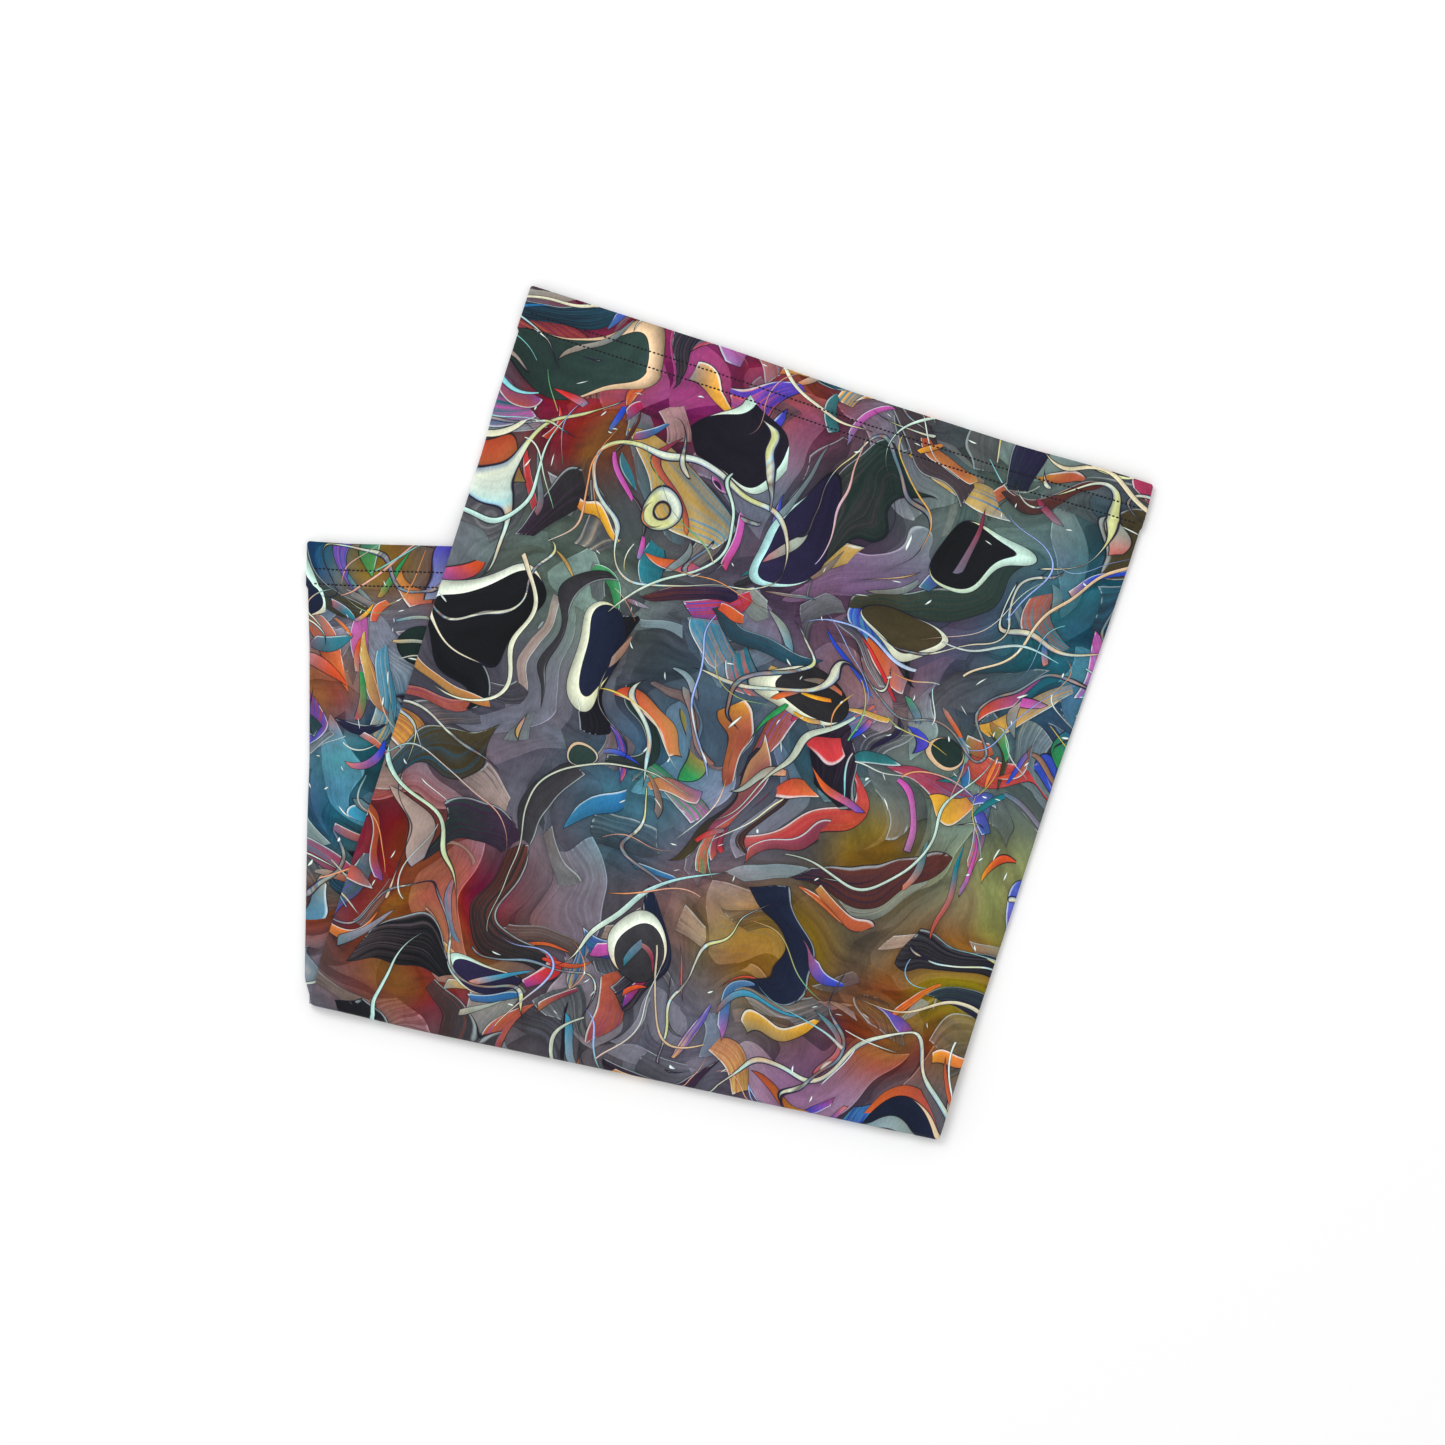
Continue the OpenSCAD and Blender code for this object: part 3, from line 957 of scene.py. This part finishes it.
# The layers of strokes, in the order in which they are painted.
UNDER_STROKES = (
    Strokes(36, 83, 24, 7, 0.02, 0.8, DEEP, hair=0.6, cut=0.5, rim_width=0.25),
    Strokes(56, 41, 38, 13, 0.014, 0.75, SOFT, busy=0, hair=0.6, glow=0.5, cut=0.4, rim_width=0.2),
)
MAIN_STROKES = (
    Strokes(31, 229, 18, 8, 0.01, 0.5, SOFT + GREYS, hair=0.8, local=0.3, glow=0.3, cut=0.25,
            rim_width=0.15, blunt=3),
    Strokes(36, 127, 25, 6, 0.025, 0.55, VIVID, False, busy=4, hair=0.6, local=0.2, glow=0.6, cut=0.5),
    Strokes(44, 311, 30, 7, 0.02, 0.6, DEEP, busy=-3, hair=0.6, glow=0.35, cut=0.6),
    Strokes(23, 167, 15, 3, 0.03, 0.5, VIVID, busy=4, local=0.1, glow=0.6, cut=0.4),
)
SMALL_STROKES = (
    Strokes(19, 211, 11, 1.6, 0.04, 0.4, VIVID + SOFT, False, busy=5, cut=0.6, shadow=0.1),
)
LINE_STROKES = (
    Strokes(70, 501, 46, 0.9, 0.016, 0.7, CREAM, False, busy=0, shadow=0.1),
    Strokes(44, 557, 30, 0.4, 0.02, 0.5, LINES, False, rim_width=0.2, shadow=0),
    Strokes(26, 607, 15, 0.25, 0.03, 0.4, LINES, False, busy=4, rim_width=0.1, shadow=0),
    Strokes(13, 701, 1.5, 0.25, 0.1, 0.3, FLECKS, False, busy=4, rim_width=0.1, shadow=0, spread=6),
)
STROKE_RIM = "1c1a26"
RIBBON_RIM = "221c30"
BLACK = (0, 0, 0, 1)
FAR = 5                     # how far outside a stroke the whole of an empty cell counts, in mm


def paint_shape(g, color, inside, light, body, rim, rim_width, shadow, glow=0):
    """Lays a shape over a colour. inside is the distance in from its edge, in mm. light is from -1
    to 1 across it, and glow is how bright the line is along the edge that light comes from."""
    if shadow:
        shade = g.times(g.step(inside, -3.0, 0.2), shadow)
        color = g.mix(shade, color, BLACK)
    color = g.mix(g.step(inside, -rim_width - 0.1, -rim_width + 0.15), color, rim)
    lit = g.scale(body, g.muladd(light, 0.24, 1))
    if glow:
        edge = g.times(g.step(inside, 0.75, 0.25), g.step(light, 0.1, 0.7))
        lit = g.mix(g.times(edge, glow), lit, linear("e8ecf4"))
    return g.mix(g.step(inside, -0.12, 0.12), color, lit)


def stroke_layer(g, color, point, tone, strokes):
    """One curved, tapering brush stroke in each cell that holds one."""
    inner, centre, (turn, curve, kind) = g.cell(point, strokes.size, strokes.shift)
    x, y, flow = g.turned(inner, centre, turn, strokes.spread)
    arch = g.times(g.muladd(curve, 2 * strokes.bend, -strokes.bend), x)
    slope = g.times(arch, 2)
    stretch = g.math("SQRT", g.muladd(slope, slope, 1))
    across = g.over(g.muladd(g.times(arch, -1), x, y), stretch)
    along = g.over(x, strokes.length)
    end = g.muladd(g.times(along, -1), along, 1)
    taper = g.math("MINIMUM", g.times(end, strokes.blunt), 1)
    share = g.muladd(flow, strokes.share * strokes.busy, strokes.share * (1 - strokes.busy / 2))
    present = g.math("LESS_THAN", g.reseed(kind, 7.3), share)
    thick = g.muladd(turn, 0.7 * strokes.width, 0.6 * strokes.width)
    wide = g.muladd(present, FAR, g.muladd(thick, taper, -FAR))
    inside = g.minus(wide, g.math("ABSOLUTE", across))
    if strokes.cut:
        slant = g.muladd(g.reseed(kind, 3.7), 2.4, -1.2)
        ahead = g.minus(strokes.cut * strokes.length, x)
        inside = g.math("MINIMUM", inside, g.muladd(slant, y, ahead))
    light = g.over(across, thick)
    if strokes.hair:
        streaks = brush_hair(g, x, across, kind)
        light = g.muladd(streaks, strokes.hair, light)
        along = g.muladd(streaks, 0.9, along)
    first = g.palette(g.reseed(kind, 13.7), strokes.colors)
    second = g.palette(g.reseed(turn, 5.1), strokes.colors)
    body = g.mix(g.step(along, -0.5, 1.2), first, second)
    if strokes.local:
        body = g.mix(strokes.local, body, tone)
    rim = linear(STROKE_RIM)
    return paint_shape(g, color, inside, light, body, rim, strokes.rim_width, strokes.shadow, strokes.glow)


def brush_hair(g, along, across, seed):
    """Streaks along a stroke, from about -1 to 1."""
    place = g.muladd(seed, 90, g.muladd(along, 0.03, across))
    inputs = {"W": place, "Scale": 0.8, "Detail": 2, "Roughness": 0.6}
    hairs = g.add("ShaderNodeTexNoise", inputs, noise_dimensions="1D").outputs[0]
    return g.muladd(hairs, 4, -2)


def ring_layer(g, color, point, size, shift, radius, width, share):
    """One ring or crescent in each cell, round a darker inside."""
    local, centre, (turn, curve, kind) = g.cell(point, size, shift)
    x, y, _ = g.turned(local, centre, turn, 6)
    squeeze = g.muladd(curve, 0.5, 1.0)
    tall = g.times(y, squeeze)
    out = g.math("SQRT", g.muladd(x, x, g.times(tall, tall)))
    big = g.muladd(kind, radius, 0.5 * radius)
    present = g.math("LESS_THAN", g.reseed(kind, 7.3), share)
    big = g.muladd(g.minus(1, present), -100, big)
    hole = g.minus(big, out)
    side = g.over(x, radius)
    fill = g.palette(g.reseed(turn, 9.1), DEEP)
    color = paint_shape(g, color, hole, side, fill, linear("15141c"), 0.5, 0.2)
    band = g.muladd(side, 0.85 * width, 0.5 * width)
    band = g.times(band, g.over(big, radius))
    ring = g.minus(band, g.math("ABSOLUTE", hole))
    tint = g.palette(g.reseed(kind, 17.7), CREAM)
    other = g.palette(g.reseed(curve, 5.7), CREAM)
    body = g.mix(g.step(side, -0.8, 0.8), tint, other)
    return paint_shape(g, color, ring, g.over(hole, width), body, linear("241d33"), 0.35, 0)


def ribbon_layer(g, color, point, colors, size, shift, level, width, cover):
    """Long ribbons that follow the contours of a soft noise, and thin out and end at random."""
    step = size / 60
    here = g.noise(g.moved(point, (shift, 0.3 * shift, 0)), size).outputs[0]
    right = g.noise(g.moved(point, (shift + step, 0.3 * shift, 0)), size).outputs[0]
    above = g.noise(g.moved(point, (shift, 0.3 * shift + step, 0)), size).outputs[0]
    dx = g.minus(right, here)
    dy = g.minus(above, here)
    steep = g.math("SQRT", g.muladd(dx, dx, g.muladd(dy, dy, 1e-7)))
    away = g.times(g.over(g.minus(here, level), steep), step)
    swell = g.noise(g.moved(point, (shift + 200, 50, 0)), size * 0.8).outputs[0]
    half = g.times(g.minus(swell, cover), width * 8)
    half = g.math("MINIMUM", half, width)
    clear = g.step(steep, 0.25 * step / size, 0.5 * step / size)
    half = g.muladd(clear, 4, g.minus(half, 4))
    ring = g.minus(half, g.math("ABSOLUTE", away))
    hue = g.noise(g.moved(point, (shift + 90, 10, 0)), size * 0.5).outputs[0]
    body = g.palette(g.step(hue, 0.3, 0.7, False), colors, blended=True)
    light = g.over(away, width)
    body = g.mix(g.step(light, 0.1, 0.9), body, linear("a8b4e0"), "MULTIPLY")
    return paint_shape(g, color, ring, light, body, linear(RIBBON_RIM), 0.4, 0.12)


def bent(g, start, flat, size, detail, distance):
    """A point moved about by a noise of that size, by up to about half the distance."""
    noise = g.noise(flat, size, detail).outputs[1]
    offset = g.vector("MULTIPLY", g.vector("SUBTRACT", noise, (0.5, 0.5, 0)), (distance, distance, 0))
    return g.vector("ADD", start, offset)


def base_patches(g, point):
    """Patches about 30 mm wide, each of which runs from one grey into another."""
    inner, centre, (first, second, third) = g.cell(point, 30, 0)
    x, y, _ = g.turned(inner, centre, first, 3)
    color = g.mix(g.step(x, -14, 14), g.palette(second, GREYS), g.palette(third, GREYS))
    return g.scale(color, g.muladd(brush_hair(g, x, y, first), 0.12, 1))


def make_print():
    """The jersey's printed face: a flowing abstract of patches, brush strokes, rings and ribbons."""
    g = Graph("printed_knit")
    flat, tone = g.cloth_point()
    swept = bent(g, flat, flat, 64, 1, 62)
    point = bent(g, swept, flat, 19, 0, 9)
    tone = veiled(g, tone, point)

    def painted(color, layers):
        for strokes in layers:
            color = stroke_layer(g, color, point if strokes.curled else swept, tone, strokes)
        return color

    color = painted(base_patches(g, point), UNDER_STROKES)
    color = g.mix(0.7, color, tone, "COLOR")
    color = g.mix(0.35, color, tone)
    color = painted(color, MAIN_STROKES)
    color = ring_layer(g, color, swept, size=58, shift=17, radius=13, width=1.5, share=0.65)
    color = painted(color, SMALL_STROKES)
    color = ribbon_layer(g, color, swept, CREAM, size=90, shift=0, level=0.52, width=1, cover=0.47)
    color = ribbon_layer(g, color, point, SOFT + CREAM, size=60, shift=400, level=0.45, width=0.7, cover=0.5)
    color = painted(color, LINE_STROKES)
    mottle = g.noise(point, 9, 4, 0.65).outputs[0]
    color = g.scale(color, g.muladd(mottle, 0.8, 0.6))
    height, slub = knit_face(g, flat)
    color = g.scale(color, g.muladd(slub, 0.3, 0.85))
    # Painted shade: the hollows between the knit's loops are drawn darker in the colour, on top of the bump
    # from the same height.
    color = g.scale(color, g.muladd(height, 0.12, 0.92))
    color = g.mix(1, color, (0.935, 1.075, 1.015, 1), "MULTIPLY")
    return finish_cloth(g, color, height, 0.08 * MM, roughness=0.82, sheen=0.05)


def veiled(g, tone, point):
    """The broad colours, streaked with thin veils of neighbouring hues."""
    streak = g.noise(g.moved(point, scale=(0.16, 1, 0)), 6, 3, 0.6).outputs[0]
    drift = g.noise(point, 34, 1).outputs[0]
    inputs = {
        "Hue": g.muladd(drift, 0.14, 0.43),
        "Saturation": 1.05,
        "Value": g.muladd(streak, 1.7, 0.18),
        "Color": tone,
    }
    return g.add("ShaderNodeHueSaturation", inputs).outputs["Color"]


def knit_face(g, flat):
    """The height of a jersey's right side, from 0 to 1, with columns of V-shaped stitches that run
    along the tube, and the yarn's uneven thickness, about 0.5. flat is the place on the cloth, in mm."""
    axes = g.add("ShaderNodeSeparateXYZ", {"Vector": flat})
    column = g.times(axes.outputs[0], 1 / WALE)
    leg = g.math("ABSOLUTE", g.muladd(g.math("FRACT", column), 2, -1))
    row = g.muladd(leg, 0.6, g.times(axes.outputs[1], 1 / COURSE))
    loops = g.muladd(g.math("SINE", g.times(row, 2 * math.pi)), 0.5, 0.5)
    full = g.times(g.step(leg, 0, 0.25), g.step(leg, 1, 0.75))
    slub = g.noise(g.vector("MULTIPLY", flat, (1.0, 0.35, 0)), 0.8, 1).outputs[0]
    return g.times(loops, full), slub


def knit_back(g, flat):
    """The height of a jersey's wrong side, from 0 to 1: staggered rows of small arched bumps."""
    axes = g.add("ShaderNodeSeparateXYZ", {"Vector": flat})
    column = g.times(axes.outputs[0], 2 * math.pi / WALE)
    arch = g.times(g.math("COSINE", column), 0.22)
    row = g.muladd(axes.outputs[1], 1 / COURSE, arch)
    bumps = g.muladd(g.math("SINE", g.times(row, 2 * math.pi)), 0.5, 0.5)
    slub = g.noise(g.vector("MULTIPLY", flat, (0.35, 1.0, 0)), 0.8, 1).outputs[0]
    return bumps, slub


def finish_cloth(g, color, height, depth, roughness, sheen):
    """The finish of dull polyester: a weak reflection, a soft sheen at a low angle, and bumps of that
    depth, from a height of 0 to 1."""
    bump = g.add("ShaderNodeBump", {"Height": height, "Distance": depth, "Strength": 1.0})
    g.put(g.shader.inputs["Base Color"], color)
    g.put(g.shader.inputs["Normal"], bump.outputs[0])
    g.shader.inputs["Roughness"].default_value = roughness
    g.shader.inputs["Specular IOR Level"].default_value = 0.15
    g.shader.inputs["Sheen Weight"].default_value = sheen
    g.shader.inputs["Sheen Roughness"].default_value = 0.4
    return g.material


def make_reverse():
    """The jersey's unprinted side: off-white yarn, with the print showing through a little."""
    g = Graph("knit_reverse")
    flat, tone = g.cloth_point()
    height, slub = knit_back(g, flat)
    through = g.mix(g.step(g.noise(flat, 16, 2).outputs[0], 0.35, 0.65), linear("d2d2d0"), tone)
    color = g.mix(0.1, linear("e6e5e1"), through)
    color = g.scale(color, g.muladd(slub, 0.16, 0.9))
    # Painted shade: the hollows between the reverse's bumps are drawn darker in the colour, on top of the
    # bump from the same height.
    color = g.scale(color, g.muladd(height, 0.14, 0.86))
    return finish_cloth(g, color, height, 0.1 * MM, roughness=0.88, sheen=0.08)


def make_thread(name, shade, light, twist):
    """Twisted polyester thread, with painted shade: its darker colour lies in the grooves between the
    strands and its lighter one on their crowns. twist is the distance between its strands, in mm."""
    g = Graph(name)
    local = g.add("ShaderNodeTexCoord").outputs["Object"]
    axes = g.add("ShaderNodeSeparateXYZ", {"Vector": g.vector("SCALE", local, 1 / MM)})
    run = g.math("ADD", g.math("ADD", axes.outputs[0], axes.outputs[1]), axes.outputs[2])
    wave = g.math("SINE", g.times(run, 2 * math.pi / twist))
    strands = g.muladd(wave, 0.5, 0.5)
    inputs = {"Vector": local, "Scale": 4000.0, "Detail": 1.0}
    fuzz = g.add("ShaderNodeTexNoise", inputs).outputs[0]
    # Painted shade and highlight: the strands' grooves take the darker colour and their crowns the lighter,
    # following the bump's height.
    color = g.mix(strands, linear(shade), linear(light))
    color = g.scale(color, g.muladd(fuzz, 0.5, 0.75))
    return finish_cloth(g, color, strands, 0.04 * MM, roughness=0.6, sheen=0.1)


def make_floor_material():
    """Matt white paper, with a very faint unevenness."""
    g = Graph("floor")
    where = g.add("ShaderNodeTexCoord").outputs["Object"]
    uneven = g.add("ShaderNodeTexNoise", {"Vector": where, "Scale": 3.0, "Detail": 2.0}).outputs[0]
    g.put(g.shader.inputs["Base Color"], g.mix(uneven, linear("efefef"), linear("f1f1f1")))
    g.shader.inputs["Roughness"].default_value = 0.9
    g.shader.inputs["Specular IOR Level"].default_value = 0.1
    return g.material


printed = make_print()
reverse_knit = make_reverse()
hem_thread = make_thread("hem_thread", "0c0b10", "232029", 0.35)
seam_thread = make_thread("seam_thread", "c9c6be", "efece4", 0.3)

# ---------------------------------------------------------------- pieces

def add_flap(flap):
    """All of one flap's pieces, each on its body, for the CAD nodes that it stands for."""
    made = {}

    def place(key, obj, slot, *nodes):
        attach(obj, flap.body)
        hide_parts(*[f"{flap.name}_{node}" for node in nodes])
        made[key] = obj

    cloth = (printed, reverse_knit)
    place("front", make_wall(flap, True, cloth), "printed_knit",
          "front_wall", "left_fold", "right_fold", "front_hem_turn")
    place("back", make_wall(flap, False, cloth), "printed_knit", "back_wall", "back_hem_turn")
    for key, row in zip(("first", "second"), STITCH_ROWS):
        obj = make_needle_row(flap, f"{flap.name}_{key}_stitch_row", row, hem_thread)
        place(key, obj, "hem_thread", f"{key}_needle_thread")
    place("looper", make_looper(flap, f"{flap.name}_looper_stitches", hem_thread),
          "hem_thread", "looper_thread")
    place("allowance", make_allowance(flap, f"{flap.name}_seam_plies", cloth),
          "knit_reverse", "seam_allowance")
    place("overlock", make_overlock(flap, f"{flap.name}_overlock_stitches", seam_thread),
          "seam_thread", "overlock_thread")
    return made


def declare_flap(flap):
    """Works out the length over which the flap's seam allowance lies."""
    seam_length = float(np.ptp(seam_range(flap)))


pieces = {flap.name: add_flap(flap) for flap in (rear, front)}
outer_bend = make_bend(True, "crease_outer_cloth", (printed, reverse_knit))
inner_bend = make_bend(False, "crease_inner_cloth", (printed, reverse_knit))
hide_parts("crease_outer_bend")
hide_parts("crease_inner_bend")
# Each bend's placement is baked into its points. The two numbers beside it are heights, in mm.
for bend, low, high in ((outer_bend, 0.6, 5.1), (inner_bend, 2.7, 3.0)):
    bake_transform(bend)
for flap in (rear, front):
    declare_flap(flap)

# ---------------------------------------------------------------- floor, light and camera

FLOOR_REACH = 4.0
FLOOR_LEVEL = -0.02 * MM     # just below the cloth, so that the two never meet
CAMERA_HEIGHT = 3.0
VIEW_WIDTH = 0.5645          # how much of the floor the picture takes in
VIEW_CENTRE = (-2.15 * MM, -3.71 * MM)
LIGHT_PLACE = (-0.9, 1.3, 1.9)


def make_floor():
    """The stage: one large pale square."""
    square = ((-1, -1), (1, -1), (1, 1), (-1, 1))
    corners = [(x * FLOOR_REACH, y * FLOOR_REACH, FLOOR_LEVEL) for x, y in square]
    mesh = bpy.data.meshes.new("floor")
    mesh.from_pydata(corners, [], [(0, 1, 2, 3)])
    mesh.materials.append(make_floor_material())
    add_object("floor", mesh)


def make_lights():
    """An even white studio, and one large soft light from the upper left."""
    world = bpy.data.worlds.new("studio")
    world.use_nodes = True
    background = world.node_tree.nodes["Background"]
    background.inputs["Color"].default_value = (1, 1, 1, 1)
    background.inputs["Strength"].default_value = 0.95
    bpy.context.scene.world = world
    light = bpy.data.lights.new("key", "AREA")
    light.shape = "DISK"
    light.size = 1.2
    light.energy = 20
    obj = add_object("key", light)
    obj.location = LIGHT_PLACE
    obj.rotation_euler = (-obj.location).to_track_quat("-Z", "Y").to_euler()


def make_camera():
    """Straight above, a long way off, with the front mouth away from the bottom of the picture."""
    camera = bpy.data.cameras.new("camera")
    camera.sensor_width = 36
    camera.lens = camera.sensor_width * CAMERA_HEIGHT / VIEW_WIDTH
    camera.clip_end = 100
    obj = add_object("camera", camera)
    obj.location = (*VIEW_CENTRE, CAMERA_HEIGHT)
    bpy.context.scene.camera = obj


make_floor()
make_lights()
make_camera()
bpy.context.scene.view_settings.view_transform = "Standard"
